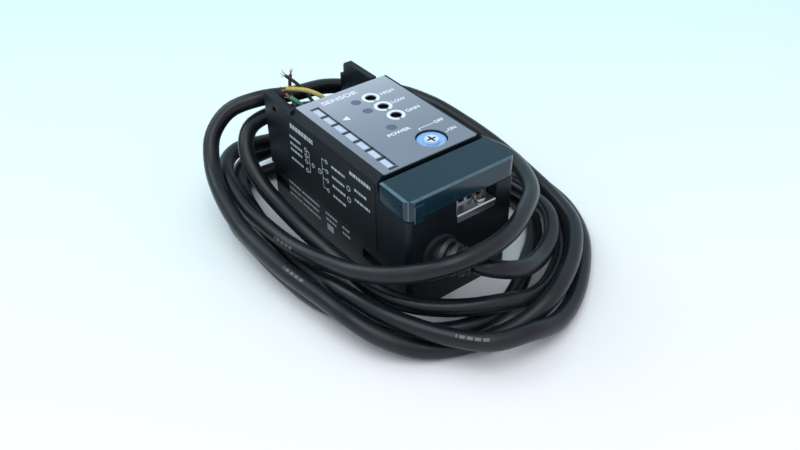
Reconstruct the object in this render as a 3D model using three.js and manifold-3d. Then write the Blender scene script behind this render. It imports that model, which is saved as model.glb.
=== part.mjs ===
// Amplifier unit of a through-beam photoelectric sensor, with its output cable wound round it.
// Millimetres, +Z up. The origin is under the middle of the case, on the surface it stands on.
// X runs across the case, the front with the cable boot faces -Y, the open rear terminals face +Y.
import * as THREE from 'three';
import { mergeVertices } from 'three/addons/utils/BufferGeometryUtils.js';
import Module from 'manifold-3d';

const wasm = await Module();
wasm.setup();

// Case
const caseWidth = 40;
const caseLength = 80;
const caseHeight = 43;
const caseWall = 2.3;
const cornerRadius = 1.8;
const edgeChamfer = 1.8;
const edgeChamferDrop = 1.9;
const wallChamfer = 0.5;
const baseHeight = 15;
const baseInset = 0.6;
const baseFloor = 2.2;
const seamGap = 0.3;
const fitGap = 0.3;
const lipHeight = 2.4;
const lipThickness = 1.1;
const roofThickness = 2.2;

// Printed panel on the roof
const panelMargin = 2.5;
const panelThickness = 0.4;
const panelGap = 1.15;

// Rear terminal bay
const rearBayLength = 17.6;
const rearBayDepth = 21;
const partition = 1.8;
const wallTopRadius = 2.2;
const rearWallInset = 5;
const rearWallThickness = 2.4;
const rearShelfDepth = 7;
const rearTabReach = 2.2;
const rearTabDepth = 5.5;
const rearTabHeight = 11;

// Front terminal bay and its hinged cover
const coverLength = 13.45;
const coverDrop = 0.7;
const coverThickness = 1.2;
const coverSkirt = 6.85;
const coverCorner = 2.6;
const coverBevel = 0.6;
const coverRearBevel = 0.55;
const hingeInset = 2.05;
const hingeDrop = 2.6;
const hingeSweep = 3;
const hingeClearance = 0.15;
const hingePinRadius = 0.65;
const hingeEarRadius = 1.65;
const frontBayDepth = 14;
const frontBayWall = 1.9;
const notchLeft = -2.6;
const notchRight = 12.8;
const notchDepth = 1.8;
const tabLeft = -18;
const tabRight = -14.6;
const tabDrop = 0.9;

// Panel controls, from the middle of the panel and from its rear or front edge
const trimmerX = 5.1;
const trimmerRearOffset = 9.7;
const trimmerPitch = 6.85;
const trimmerRadius = 1.5;
const indicatorX = -0.5;
const indicatorRearOffsets = [9.4, 16.0, 28.6];
const indicatorRadius = 1.5;
const barEdgeOffset = 4.1;
const barRearOffset = 7.6;
const barFrontOffset = 4.4;
const barCount = 7;
const barWindow = [2.1, 4.6];
const switchX = 5.4;
const switchFrontOffset = 7;
const switchRadius = 4.7;

// Boards
const boardThickness = 1.6;
const displayBoardDepth = 11;
const mainBoardZ = 7;
const mainBoardMargin = 10;

// Terminals
const terminalCount = 4;
const terminalRibHalf = 0.4;
const screwHeadRadius = 2.5;
const screwHeadHeight = 1.8;
const screwShankRadius = 1.4;

// Boot and cable
const bootX = -9;
const bootZ = 20;
const bootFlange = 4.4;
const bootBaseRadius = 6.2;
const bootRibRadii = [5.7, 5.1, 4.5];
const bootRibThickness = 1.3;
const bootTipRadius = 3.6;
const cableRadius = 2.75;
const cableSteps = 120;
const coreRadius = 0.65;
const tubeGap = 0.3;

// Case screws
const caseScrewInset = 6;
const caseScrewEndInset = 6.4;
const caseScrewRadius = 1.1;
const caseScrewHead = 2.2;

const halfWidth = caseWidth / 2;
const halfLength = caseLength / 2;
const innerHalfWidth = halfWidth - caseWall;
const panelRearY = halfLength - rearBayLength;
const coverRearY = -halfLength + coverLength;
const panelFrontY = coverRearY + panelGap;
const panelHalf = halfWidth - panelMargin;
const partitionFrontY = panelRearY - partition;
const rearBayFloor = caseHeight - rearBayDepth;
const frontBayFloor = caseHeight - frontBayDepth;
const displayBoardZ = caseHeight - displayBoardDepth;
const barX = -panelHalf + barEdgeOffset;
const barPitch = (panelRearY - barRearOffset - panelFrontY - barFrontOffset) / (barCount - 1);
const terminalPitch = (caseWidth - 7.2) / terminalCount;
const coverTopZ = caseHeight - coverDrop;
const coverBottomZ = coverTopZ - coverSkirt;
const ledgeZ = coverBottomZ - 0.25;
const hingeY = coverRearY - hingeInset;
const hingeZ = coverTopZ - hingeDrop;
const roofUnderZ = caseHeight - panelThickness - 0.1 - roofThickness;
const rearWallRight = halfWidth - rearWallInset;
const rearBayLeft = -innerHalfWidth;
const rearBayRight = rearWallRight - rearWallThickness;
const rearTerminalPitch = (rearBayRight - rearBayLeft - 0.7) / terminalCount;
const platformHalf = halfWidth - coverThickness - 0.4;
const platformTopZ = coverTopZ - coverThickness - 0.5;

const finish = (colour, roughness, metalness = 0, opacity = 1) =>
  new THREE.MeshStandardMaterial({
    color: colour,
    roughness,
    metalness,
    opacity,
    transparent: opacity < 1,
  });
const blackPlastic = () => finish(0x1b2226, 0.45);
const terminalPlastic = () => finish(0x16191b, 0.5);
const clearSmoke = () => finish(0x35586b, 0.1, 0, 0.55);
const nickel = () => finish(0xc4c8c8, 0.28, 0.95);
const steel = () => finish(0xb2b5b3, 0.35, 0.9);
const fibreglass = () => finish(0x1f5a38, 0.55);
const jacket = () => finish(0x2c3338, 0.5);

const object = new THREE.Group();

function block(x0, x1, y0, y1, z0, z1) {
  const geometry = new THREE.BoxGeometry(x1 - x0, y1 - y0, z1 - z0);
  return geometry.translate((x0 + x1) / 2, (y0 + y1) / 2, (z0 + z1) / 2);
}

function post(x, y, z0, z1, radius, sides = 24) {
  const geometry = new THREE.CylinderGeometry(radius, radius, z1 - z0, sides);
  return geometry.rotateX(Math.PI / 2).translate(x, y, (z0 + z1) / 2);
}

function rodAlongX(x0, x1, y, z, radius, sides = 24) {
  const geometry = new THREE.CylinderGeometry(radius, radius, x1 - x0, sides);
  return geometry.rotateZ(Math.PI / 2).translate((x0 + x1) / 2, y, z);
}

function rodAlongY(x, y0, y1, z, radius, sides = 24) {
  const geometry = new THREE.CylinderGeometry(radius, radius, y1 - y0, sides);
  return geometry.translate(x, (y0 + y1) / 2, z);
}

function roundedOutline(x0, x1, y0, y1, radius) {
  const shape = new THREE.Shape();
  shape.moveTo(x0 + radius, y0);
  shape.lineTo(x1 - radius, y0);
  shape.absarc(x1 - radius, y0 + radius, radius, -Math.PI / 2, 0);
  shape.lineTo(x1, y1 - radius);
  shape.absarc(x1 - radius, y1 - radius, radius, 0, Math.PI / 2);
  shape.lineTo(x0 + radius, y1);
  shape.absarc(x0 + radius, y1 - radius, radius, Math.PI / 2, Math.PI);
  shape.lineTo(x0, y0 + radius);
  shape.absarc(x0 + radius, y0 + radius, radius, Math.PI, Math.PI * 1.5);
  return shape;
}

function roundedBlock(x0, x1, y0, y1, z0, z1, radius, steps = 5) {
  const outline = roundedOutline(x0, x1, y0, y1, radius);
  const options = { depth: z1 - z0, bevelEnabled: false, curveSegments: steps };
  return new THREE.ExtrudeGeometry(outline, options).translate(0, 0, z0);
}

// A side outline in Y and Z, extruded across the case from x0 to x1.
function acrossCase(outline, x0, x1, steps = 6) {
  const options = { depth: x1 - x0, bevelEnabled: false, curveSegments: steps };
  const geometry = new THREE.ExtrudeGeometry(outline, options);
  const toCase = new THREE.Matrix4().makeBasis(
    new THREE.Vector3(0, 1, 0),
    new THREE.Vector3(0, 0, 1),
    new THREE.Vector3(1, 0, 0),
  );
  return geometry.applyMatrix4(toCase).translate(x0, 0, 0);
}

// An end outline in X and Z, extruded along the case from y0 to y1.
function alongCase(outline, y0, y1) {
  const geometry = new THREE.ExtrudeGeometry(outline, { depth: y1 - y0, bevelEnabled: false });
  return geometry.rotateX(Math.PI / 2).translate(0, y1, 0);
}

function outlineOf(points) {
  return new THREE.Shape(points.map(([a, b]) => new THREE.Vector2(a, b)));
}

function solid(geometry) {
  const bare = geometry.clone();
  bare.deleteAttribute('normal');
  bare.deleteAttribute('uv');
  const merged = mergeVertices(bare, 1e-4);
  return new wasm.Manifold(new wasm.Mesh({
    numProp: 3,
    vertProperties: new Float32Array(merged.attributes.position.array),
    triVerts: new Uint32Array(merged.index.array),
  }));
}

function join(...geometries) {
  return geometries.map(solid).reduce((sum, piece) => sum.add(piece));
}

function cut(body, ...geometries) {
  return geometries.map(solid).reduce((rest, piece) => rest.subtract(piece), body);
}

function toGeometry(body) {
  const mesh = body.getMesh();
  const geometry = new THREE.BufferGeometry();
  const positions = new Float32Array(mesh.vertProperties);
  geometry.setAttribute('position', new THREE.BufferAttribute(positions, 3));
  geometry.setIndex(new THREE.BufferAttribute(new Uint32Array(mesh.triVerts), 1));
  geometry.computeVertexNormals();
  return geometry;
}

function addPiece(name, shape, material, parent = object) {
  const geometry = shape.isBufferGeometry ? shape : toGeometry(shape);
  const mesh = new THREE.Mesh(geometry, material);
  mesh.name = name;
  parent.add(mesh);
  return mesh;
}

const trimmerYs = [0, 1, 2].map((i) => panelRearY - trimmerRearOffset - i * trimmerPitch);
const indicatorYs = indicatorRearOffsets.map((offset) => panelRearY - offset);
const barYs = Array.from({ length: barCount }, (_, i) => panelRearY - barRearOffset - i * barPitch);
const switchY = panelFrontY + switchFrontOffset;
const evenly = (middle, pitch) => Array.from(
  { length: terminalCount },
  (_, i) => middle + (i - (terminalCount - 1) / 2) * pitch,
);
const frontTerminalXs = evenly(0, terminalPitch);
const rearTerminalXs = evenly((rearBayLeft + rearBayRight) / 2, rearTerminalPitch);
const screwCorners = [[-1, -1], [1, -1], [-1, 1], [1, 1]].map(([a, b]) => [
  a * (halfWidth - caseScrewInset),
  b * (halfLength - caseScrewEndInset),
]);

// Openings through the panel and the roof for the controls; extra widens them for the roof.
function controlOpenings(z0, z1, extra) {
  const openings = trimmerYs.map((y) => post(trimmerX, y, z0, z1, trimmerRadius + fitGap + extra));
  indicatorYs.forEach((y) => openings.push(post(indicatorX, y, z0, z1, indicatorRadius + 0.1 + extra, 20)));
  openings.push(post(switchX, switchY, z0, z1, switchRadius + fitGap, 36));
  barYs.forEach((y) => {
    const [w, l] = barWindow;
    const grow = 0.1 + extra;
    openings.push(block(barX - w / 2 - grow, barX + w / 2 + grow, y - l / 2 - grow, y + l / 2 + grow, z0, z1));
  });
  return openings;
}

// Upper case: one moulded shell with the roof, the two terminal bays and the four screw posts.
function upperCase() {
  const bottomZ = baseHeight + seamGap;
  const endOutline = (chamfer, drop) => outlineOf([
    [-halfWidth, bottomZ],
    [halfWidth, bottomZ],
    [halfWidth, caseHeight - edgeChamferDrop],
    [halfWidth - edgeChamfer, caseHeight],
    [-halfWidth + chamfer, caseHeight],
    [-halfWidth, caseHeight - drop],
  ]);
  const sideOutline = new THREE.Shape();
  sideOutline.moveTo(-halfLength - 1, bottomZ - 1);
  sideOutline.lineTo(halfLength, bottomZ - 1);
  sideOutline.lineTo(halfLength, caseHeight - wallTopRadius);
  sideOutline.absarc(halfLength - wallTopRadius, caseHeight - wallTopRadius, wallTopRadius, 0, Math.PI / 2);
  sideOutline.lineTo(-halfLength - 1, caseHeight);
  const rounded = roundedBlock(
    -halfWidth, halfWidth, -halfLength, halfLength, bottomZ, caseHeight, cornerRadius,
  );
  let shell = join(
    alongCase(endOutline(edgeChamfer, edgeChamferDrop), -halfLength - 1, panelRearY),
    alongCase(endOutline(wallChamfer, wallChamfer), panelRearY - 1, halfLength + 1),
  );
  shell = shell.intersect(solid(rounded));
  shell = shell.intersect(solid(acrossCase(sideOutline, -halfWidth - 1, halfWidth + 1)));

  const above = caseHeight + 1;
  const inner = innerHalfWidth;
  const electronicsFrontY = panelFrontY + 1.6;
  const shelfZ = caseHeight - rearShelfDepth;
  shell = cut(
    shell,
    block(-inner, inner, electronicsFrontY, partitionFrontY, displayBoardZ - 1, roofUnderZ),
    block(-inner, inner, coverRearY + 0.6, partitionFrontY, bottomZ - 1, displayBoardZ - 1),
    block(-inner, inner, -halfLength + caseWall, coverRearY + 1, bottomZ - 1, frontBayFloor - partition),
    block(-inner, inner, partitionFrontY, halfLength - caseWall, bottomZ - 1, rearBayFloor - partition),
    block(
      rearWallRight - 0.6, inner, partitionFrontY, halfLength - caseWall, bottomZ - 1, shelfZ - partition,
    ),
    block(rearBayLeft, rearBayRight, panelRearY, halfLength + 1, rearBayFloor, above),
    block(rearWallRight, halfWidth + 1, panelRearY, halfLength + 1, shelfZ, above),
    block(
      -panelHalf - 0.1, panelHalf + 0.1,
      panelFrontY - 0.1, panelRearY + 1, caseHeight - panelThickness - 0.1, above,
    ),
  );

  // Step that the cover sits on, and the platform inside it.
  const frontBlock = block(-halfWidth - 1, halfWidth + 1, -halfLength - 1, coverRearY + 0.3, ledgeZ, above);
  const platform = roundedBlock(
    -platformHalf, platformHalf, -halfLength + coverThickness + 0.4, coverRearY + 2,
    ledgeZ - 1, platformTopZ, 1.4,
  );
  shell = shell.subtract(solid(frontBlock).subtract(solid(platform)));
  shell = cut(
    shell,
    block(-halfWidth - 1, halfWidth + 1, hingeY, panelFrontY - 0.1, hingeZ, above),
    rodAlongX(-halfWidth - 1, halfWidth + 1, hingeY, hingeZ, hingeSweep + hingeClearance, 40),
    block(
      -platformHalf + frontBayWall, platformHalf - frontBayWall,
      -halfLength + coverThickness + 0.4 + frontBayWall, coverRearY - 1.2, frontBayFloor, above,
    ),
    block(notchLeft, notchRight, -halfLength - 1, -halfLength + 3.6, frontBayFloor - notchDepth, above),
    block(
      tabLeft - fitGap, tabRight + fitGap, -halfLength - 1, -halfLength + 0.8 + fitGap,
      coverBottomZ - tabDrop - fitGap, above,
    ),
  );

  // Two ears carry the hinge pins of the cover.
  [-1, 1].forEach((side) => {
    const x0 = Math.min(side * (platformHalf - 1.3), side * platformHalf);
    const ear = join(
      rodAlongX(x0, x0 + 1.3, hingeY, hingeZ, hingeEarRadius),
      block(x0, x0 + 1.3, hingeY - hingeEarRadius, hingeY + 0.7, ledgeZ - 1, hingeZ),
    );
    shell = shell.add(ear);
    shell = cut(shell, rodAlongX(x0 - 1, x0 + 2.3, hingeY, hingeZ, hingePinRadius + 0.3, 16));
  });

  shell = cut(shell, ...controlOpenings(roofUnderZ - 1, above, 0.2));
  screwCorners.forEach(([x, y]) => {
    const topZ = y > 0 ? rearBayFloor - 1 : frontBayFloor - 1;
    shell = shell.add(solid(post(x, y, bottomZ, topZ, 2.9, 20)));
    shell = cut(shell, post(x, y, bottomZ - 1, bottomZ + 4.2, caseScrewRadius + fitGap, 16));
  });
  const tabTopZ = caseHeight - rearTabDepth;
  const rearTab = block(
    rearBayRight, rearWallRight, halfLength - 1, halfLength + rearTabReach, tabTopZ - rearTabHeight, tabTopZ,
  );
  const wallPocket = block(
    -halfWidth - 1, -halfWidth + 0.9, halfLength - 8.8, halfLength - 6.6, caseHeight - 5, caseHeight - 3.4,
  );
  return cut(
    shell.add(solid(rearTab)),
    rodAlongY(bootX, -halfLength - 1, -halfLength + caseWall + 1, bootZ, cableRadius + 0.6),
    wallPocket,
  );
}

// Base: a tray with a raised lip inside the seam and slots in both sides for the mounting bracket.
const bracketSlots = [[halfLength - 11, halfLength - 2], [-halfLength + 13.5, -halfLength + 24.4]];
const boardPosts = [[-1, -1], [1, -1], [-1, 1], [1, 1]].map(([a, b]) => [a * halfWidth / 2, b * halfLength / 2]);
const slotBottomZ = 7.2;
const slotTopZ = 11;
const slotDepth = 1.6;

function baseCase() {
  const half = halfWidth - baseInset;
  const end = halfLength - baseInset;
  const lipHalf = innerHalfWidth - fitGap;
  const lipEnd = halfLength - caseWall - fitGap;
  let tray = solid(roundedBlock(-half, half, -end, end, 0, baseHeight, cornerRadius));
  const lip = roundedBlock(-lipHalf, lipHalf, -lipEnd, lipEnd, baseFloor, baseHeight + lipHeight, 1);
  tray = tray.add(solid(lip));
  tray = cut(tray, block(
    -lipHalf + lipThickness, lipHalf - lipThickness,
    -lipEnd + lipThickness, lipEnd - lipThickness, baseFloor, baseHeight + lipHeight + 1,
  ));
  screwCorners.forEach(([x, y]) => {
    tray = tray.add(solid(post(x, y, baseFloor - 1, baseHeight, 2.9, 20)));
    tray = cut(
      tray,
      post(x, y, -1, baseHeight + 1, caseScrewRadius + fitGap, 16),
      post(x, y, -1, 1.7, caseScrewHead + fitGap, 20),
      block(x - 3.4, x + 3.4, y - 3.4, y + 3.4, baseHeight, baseHeight + lipHeight + 1),
    );
  });
  tray = cut(tray, block(
    bootX - bootFlange - 0.4, bootX + bootFlange + 0.4, -halfLength, -halfLength + caseWall + 3,
    baseHeight, baseHeight + lipHeight + 1,
  ));
  boardPosts.forEach(([x, y]) => {
    tray = tray.add(solid(post(x, y, baseFloor - 1, mainBoardZ - 0.1, 1.8, 16)));
  });
  bracketSlots.forEach(([y0, y1]) => {
    tray = cut(
      tray,
      block(-half - 1, -half + slotDepth, y0, y1, slotBottomZ, slotTopZ),
      block(half - slotDepth, half + 1, y0, y1, slotBottomZ, slotTopZ),
    );
  });
  return tray;
}

// Smoked cover: a thin lid with skirts on three sides, two inward pins and a finger tab.
function frontCover() {
  const outer = new THREE.Shape();
  const sweep = hingeZ - coverBottomZ;
  const low = Math.acos(hingeInset / sweep);
  outer.moveTo(-halfLength, coverBottomZ);
  outer.lineTo(hingeY, coverBottomZ);
  outer.absarc(hingeY, hingeZ, sweep, -Math.PI / 2, -low);
  outer.lineTo(coverRearY, coverTopZ - coverRearBevel);
  outer.lineTo(coverRearY - coverRearBevel, coverTopZ);
  outer.lineTo(-halfLength + coverBevel, coverTopZ);
  outer.lineTo(-halfLength, coverTopZ - coverBevel);
  const bevelled = outlineOf([
    [-halfWidth, coverBottomZ - 1],
    [halfWidth, coverBottomZ - 1],
    [halfWidth, coverTopZ - coverBevel],
    [halfWidth - coverBevel, coverTopZ],
    [-halfWidth + coverBevel, coverTopZ],
    [-halfWidth, coverTopZ - coverBevel],
  ]);
  const inset = coverThickness;
  let lid = solid(acrossCase(outer, -halfWidth, halfWidth));
  lid = lid.intersect(solid(alongCase(bevelled, -halfLength - 1, coverRearY + 1)));
  lid = lid.intersect(solid(roundedBlock(
    -halfWidth, halfWidth, -halfLength, coverRearY + 4, coverBottomZ - 1, caseHeight, coverCorner,
  )));
  lid = cut(lid, roundedBlock(
    -halfWidth + inset, halfWidth - inset, -halfLength + inset, coverRearY + 4,
    coverBottomZ - 1, coverTopZ - inset, coverCorner - inset,
  ));
  [-1, 1].forEach((side) => {
    const wallX = side * (halfWidth - inset + 0.2);
    const tipX = side * (platformHalf - 1.1);
    lid = lid.add(solid(rodAlongX(
      Math.min(wallX, tipX), Math.max(wallX, tipX), hingeY, hingeZ, hingePinRadius, 16,
    )));
  });
  // Thinner lid above each ear, so that the ear clears it.
  [-1, 1].forEach((side) => {
    const x0 = side * (platformHalf + 0.3);
    const x1 = side * (platformHalf - 1.7);
    lid = cut(lid, block(
      Math.min(x0, x1), Math.max(x0, x1), hingeY - 2.2, coverRearY + 1,
      coverTopZ - inset - 0.5, coverTopZ - 0.65,
    ));
  });
  const tab = roundedBlock(
    tabLeft, tabRight, -halfLength - 0.3, -halfLength + 0.8, coverBottomZ - tabDrop, coverTopZ - 2.1, 0.25, 2,
  );
  return lid.add(solid(tab));
}

addPiece('upper_case', upperCase(), blackPlastic());
addPiece('base_case', baseCase(), blackPlastic());
addPiece('front_cover', frontCover(), clearSmoke());

const panel = roundedBlock(
  -panelHalf, panelHalf, panelFrontY, panelRearY,
  caseHeight - panelThickness, caseHeight, 0.6, 3,
);
addPiece(
  'top_panel',
  cut(solid(panel), ...controlOpenings(caseHeight - 2, caseHeight + 1, 0)),
  finish(0x8fa0b4, 0.5),
);
addPiece(
  'side_label',
  block(
    -halfWidth - 0.15, -halfWidth - 0.02, panelFrontY + 1, panelRearY + 2.6,
    baseHeight + 1, caseHeight - 3.1,
  ),
  finish(0x20282c, 0.4),
);

// Boards, with a pin header between them
const boardHalf = innerHalfWidth - 1;
const pcbFrontY = panelFrontY + 2;
addPiece(
  'display_board',
  block(-boardHalf, boardHalf, pcbFrontY, partitionFrontY - 0.6, displayBoardZ, displayBoardZ + boardThickness),
  fibreglass(),
);
const mainHalfX = halfWidth - 5;
const mainHalfY = halfLength - mainBoardMargin;
addPiece(
  'main_board',
  block(-mainHalfX, mainHalfX, -mainHalfY, mainHalfY, mainBoardZ, mainBoardZ + boardThickness),
  fibreglass(),
);
const boardTopZ = displayBoardZ + boardThickness;
const mainTopZ = mainBoardZ + boardThickness;
addPiece(
  'board_connector',
  block(-13, -9, -8, 14, mainTopZ + 0.1, displayBoardZ - 0.1),
  terminalPlastic(),
);
addPiece('control_chip', block(1, 11, -2, 8, mainTopZ + 0.1, mainTopZ + 2.2), finish(0x151618, 0.6));
addPiece('filter_capacitor', post(5, -13, mainTopZ + 0.1, mainTopZ + 11, 4, 28), finish(0x2a3550, 0.35));
addPiece(
  'output_transistor',
  block(-4.5, 5.5, partitionFrontY - 7, partitionFrontY - 2.8, mainTopZ + 0.1, mainTopZ + 13),
  finish(0x18191b, 0.5),
);

// Bar display: one light guide with a window for each step, over a row of lamps
const [windowWidth, windowLength] = barWindow;
const barMiddleY = (barYs[0] + barYs[barCount - 1]) / 2;
const barSpan = (barCount - 1) * barPitch + windowLength;
const guideTopZ = roofUnderZ - 0.2;
addPiece(
  'bar_light_guide',
  join(
    block(
      barX - windowWidth / 2 - 0.6, barX + windowWidth / 2 + 0.6,
      barMiddleY - barSpan / 2 + 0.1, barMiddleY + barSpan / 2 - 0.1, boardTopZ + 2.2, guideTopZ,
    ),
    ...barYs.map((y) => block(
      barX - windowWidth / 2, barX + windowWidth / 2,
      y - windowLength / 2 + 0.1, y + windowLength / 2 - 0.1, guideTopZ - 0.5, caseHeight - 0.05,
    )),
  ),
  finish(0xd8e2f2, 0.35, 0, 0.9),
);
addPiece(
  'bar_led_array',
  block(
    barX - 1.4, barX + 1.4, barMiddleY - barSpan / 2 + 0.1, barMiddleY + barSpan / 2 - 0.1,
    boardTopZ + 0.1, boardTopZ + 1.9,
  ),
  finish(0xe8e4dc, 0.5),
);

const controlNames = ['high', 'low', 'gain'];
trimmerYs.forEach((y, i) => {
  const half = 3.1;
  const bodyTopZ = roofUnderZ - 1.4;
  const body = cut(
    solid(block(trimmerX - half, trimmerX + half, y - half, y + half, boardTopZ + 0.1, bodyTopZ)),
    post(trimmerX, y, bodyTopZ - 2, bodyTopZ + 1, trimmerRadius + fitGap),
  );
  addPiece(`trimmer_body_${controlNames[i]}`, body, finish(0x2b4f8c, 0.45));
  const topZ = caseHeight - panelThickness - 0.9;
  const rotor = cut(
    solid(post(trimmerX, y, bodyTopZ - 1.6, topZ, trimmerRadius)),
    block(trimmerX - 1.05, trimmerX + 1.05, y - 0.28, y + 0.28, topZ - 0.7, topZ + 1),
    block(trimmerX - 0.28, trimmerX + 0.28, y - 1.05, y + 1.05, topZ - 0.7, topZ + 1),
  );
  addPiece(`trimmer_rotor_${controlNames[i]}`, rotor, finish(0x2a2d30, 0.4));
});

const indicatorNames = ['high', 'low', 'power'];
indicatorYs.forEach((y, i) => {
  const lens = join(
    post(indicatorX, y, boardTopZ + 1.7, caseHeight - 0.05, indicatorRadius, 20),
    post(indicatorX, y, boardTopZ + 1.7, boardTopZ + 2.7, indicatorRadius + 0.5, 20),
  );
  addPiece(`indicator_lens_${indicatorNames[i]}`, lens, finish(0x5d6d86, 0.3, 0, 0.9));
  const lamp = block(indicatorX - 1, indicatorX + 1, y - 1.6, y + 1.6, boardTopZ + 0.1, boardTopZ + 1.3);
  addPiece(`indicator_led_${indicatorNames[i]}`, lamp, finish(0xefe9d6, 0.4));
});

// Rotary power switch: a dished dial with a cross slot in its hub
const switchBodyTopZ = roofUnderZ - 1.2;
const switchBodyFront = switchFrontOffset - 2.4;
addPiece(
  'power_switch_body',
  cut(
    solid(block(
      switchX - switchRadius, switchX + switchRadius, switchY - switchBodyFront, switchY + switchRadius,
      boardTopZ + 0.1, switchBodyTopZ,
    )),
    post(switchX, switchY, switchBodyTopZ - 3, switchBodyTopZ + 1, 1.8 + fitGap),
  ),
  finish(0x1e2a52, 0.45),
);
const dialTopZ = caseHeight - 0.7;
const dialProfile = [
  [0, switchBodyTopZ - 2.6],
  [1.8, switchBodyTopZ - 2.6],
  [1.8, dialTopZ - 2],
  [switchRadius, dialTopZ - 2],
  [switchRadius, dialTopZ],
  [switchRadius - 0.5, dialTopZ],
  [2.3, dialTopZ - 0.8],
  [2.2, dialTopZ + 0.5],
  [0, dialTopZ + 0.5],
].map(([r, z]) => new THREE.Vector2(r, z));
const dial = new THREE.LatheGeometry(dialProfile, 36).rotateX(Math.PI / 2).translate(switchX, switchY, 0);
const hubTopZ = dialTopZ + 0.5;
addPiece(
  'power_switch_dial',
  cut(
    solid(dial),
    block(switchX - 1.7, switchX + 1.7, switchY - 0.35, switchY + 0.35, hubTopZ - 1, hubTopZ + 1),
    block(switchX - 0.35, switchX + 0.35, switchY - 1.7, switchY + 1.7, hubTopZ - 1, hubTopZ + 1),
  ),
  finish(0x9fc2e6, 0.3, 0.4),
);

// Terminal blocks
function terminalBlock(xs, y0, y1, z0, z1, screwY) {
  const half = (xs[1] - xs[0]) / 2;
  let body = solid(block(xs[0] - half - 0.1, xs[terminalCount - 1] + half + 0.1, y0, y1, z0, z1));
  xs.forEach((x) => {
    body = cut(body, post(x, screwY, z0 + 1, z1 + 1, screwShankRadius + fitGap, 16));
  });
  xs.slice(1).forEach((x) => {
    const middle = x - half;
    const rib = block(middle - terminalRibHalf, middle + terminalRibHalf, y0, y1, z1 - 1, z1 + 2.4);
    body = body.add(solid(rib));
  });
  return body;
}

function terminalScrew(x, y, seatZ, shankLength) {
  const topZ = seatZ + screwHeadHeight;
  return cut(
    join(
      post(x, y, seatZ, topZ, screwHeadRadius, 24),
      post(x, y, seatZ - shankLength, seatZ + 0.5, screwShankRadius, 16),
    ),
    block(x - 2, x + 2, y - 0.35, y + 0.35, topZ - 0.8, topZ + 1),
    block(x - 0.35, x + 0.35, y - 2, y + 2, topZ - 0.8, topZ + 1),
  );
}

const frontBlockTopZ = frontBayFloor + 4.6;
const frontBlockFrontY = -halfLength + 5.2;
const frontBlockRearY = coverRearY - 1.5;
const frontScrewY = (frontBlockFrontY + frontBlockRearY) / 2;
addPiece(
  'front_terminal_block',
  terminalBlock(
    frontTerminalXs, frontBlockFrontY, frontBlockRearY, frontBayFloor + 0.1, frontBlockTopZ, frontScrewY,
  ),
  terminalPlastic(),
);
frontTerminalXs.forEach((x, i) => {
  const screw = terminalScrew(x, frontScrewY, frontBlockTopZ + 0.1, 3.2);
  addPiece(`front_terminal_screw_${i + 1}`, screw, steel());
});

const rearBlockTopZ = rearBayFloor + 9.5;
const rearScrewY = panelRearY + 6.2;
const clampThickness = 0.8;
addPiece(
  'rear_terminal_block',
  terminalBlock(
    rearTerminalXs, panelRearY + 0.4, halfLength - 4.4, rearBayFloor + 0.1, rearBlockTopZ, rearScrewY,
  ),
  terminalPlastic(),
);
const wireRadius = 0.8;
const clampZ = rearBlockTopZ + 2 * wireRadius + 0.5;
const clampHalf = rearTerminalPitch / 2 - terminalRibHalf - fitGap;
rearTerminalXs.forEach((x, i) => {
  const clamp = cut(
    solid(block(x - clampHalf, x + clampHalf, rearScrewY - 2.6, rearScrewY + 3.2, clampZ, clampZ + clampThickness)),
    post(x, rearScrewY, clampZ - 1, clampZ + 2, screwShankRadius + fitGap, 16),
  );
  addPiece(`rear_terminal_clamp_${i + 1}`, clamp, nickel());
  const screw = terminalScrew(x, rearScrewY, clampZ + clampThickness + 0.1, 6);
  addPiece(`rear_terminal_screw_${i + 1}`, screw, steel());
});

// Shield plate in the front notch: a bent nickel strip with wire slots and one screw
const plateThickness = 0.8;
const plateFrontY = -halfLength - 0.3;
const plateBackY = -halfLength + 4.6;
const plateTopZ = caseHeight - 4.5;
const shelfZ = frontBayFloor + 1.1;
const plateOutline = outlineOf([
  [plateFrontY, frontBayFloor - notchDepth + 0.3],
  [plateFrontY + plateThickness, frontBayFloor - notchDepth + 0.3],
  [plateFrontY + plateThickness, shelfZ - plateThickness],
  [plateBackY, shelfZ - plateThickness],
  [plateBackY, plateTopZ],
  [plateBackY - plateThickness, plateTopZ],
  [plateBackY - plateThickness, shelfZ],
  [plateFrontY + 0.3, shelfZ],
  [plateFrontY, shelfZ - 0.3],
]);
const slots = [[-1.6, 0.4], [4.6, 6.6], [8.2, 10.2]].map(([x0, x1]) =>
  block(x0, x1, plateBackY - 2, plateBackY + 1, shelfZ + 0.5, shelfZ + 1.5));
addPiece(
  'shield_plate',
  cut(
    solid(acrossCase(plateOutline, notchLeft + fitGap, notchRight - fitGap)),
    ...slots,
    block(1.3, 3.5, plateBackY - 2, plateBackY + 1, shelfZ + 0.6, shelfZ + 4.4),
    post(8.2, plateBackY - 2.4, shelfZ - 2, shelfZ + 1, 0.9, 16),
  ),
  nickel(),
);

// Case screws, from below into the posts
screwCorners.forEach(([x, y], i) => {
  const screw = cut(
    join(
      post(x, y, 0.2, 1.5, caseScrewHead, 20),
      post(x, y, 1, baseHeight + 4, caseScrewRadius, 12),
    ),
    block(x - 1.5, x + 1.5, y - 0.3, y + 0.3, 0, 0.9),
    block(x - 0.3, x + 0.3, y - 1.5, y + 1.5, 0, 0.9),
  );
  addPiece(`case_screw_${i + 1}`, screw, steel());
});

function tube(curve, radius, steps, sides) {
  const ring = Array.from({ length: sides }, (_, i) => {
    const angle = (i / sides) * 2 * Math.PI;
    return new THREE.Vector2(radius * Math.cos(angle), radius * Math.sin(angle));
  });
  const section = new THREE.Shape(ring);
  return new THREE.ExtrudeGeometry(section, { steps, bevelEnabled: false, extrudePath: curve });
}

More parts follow.
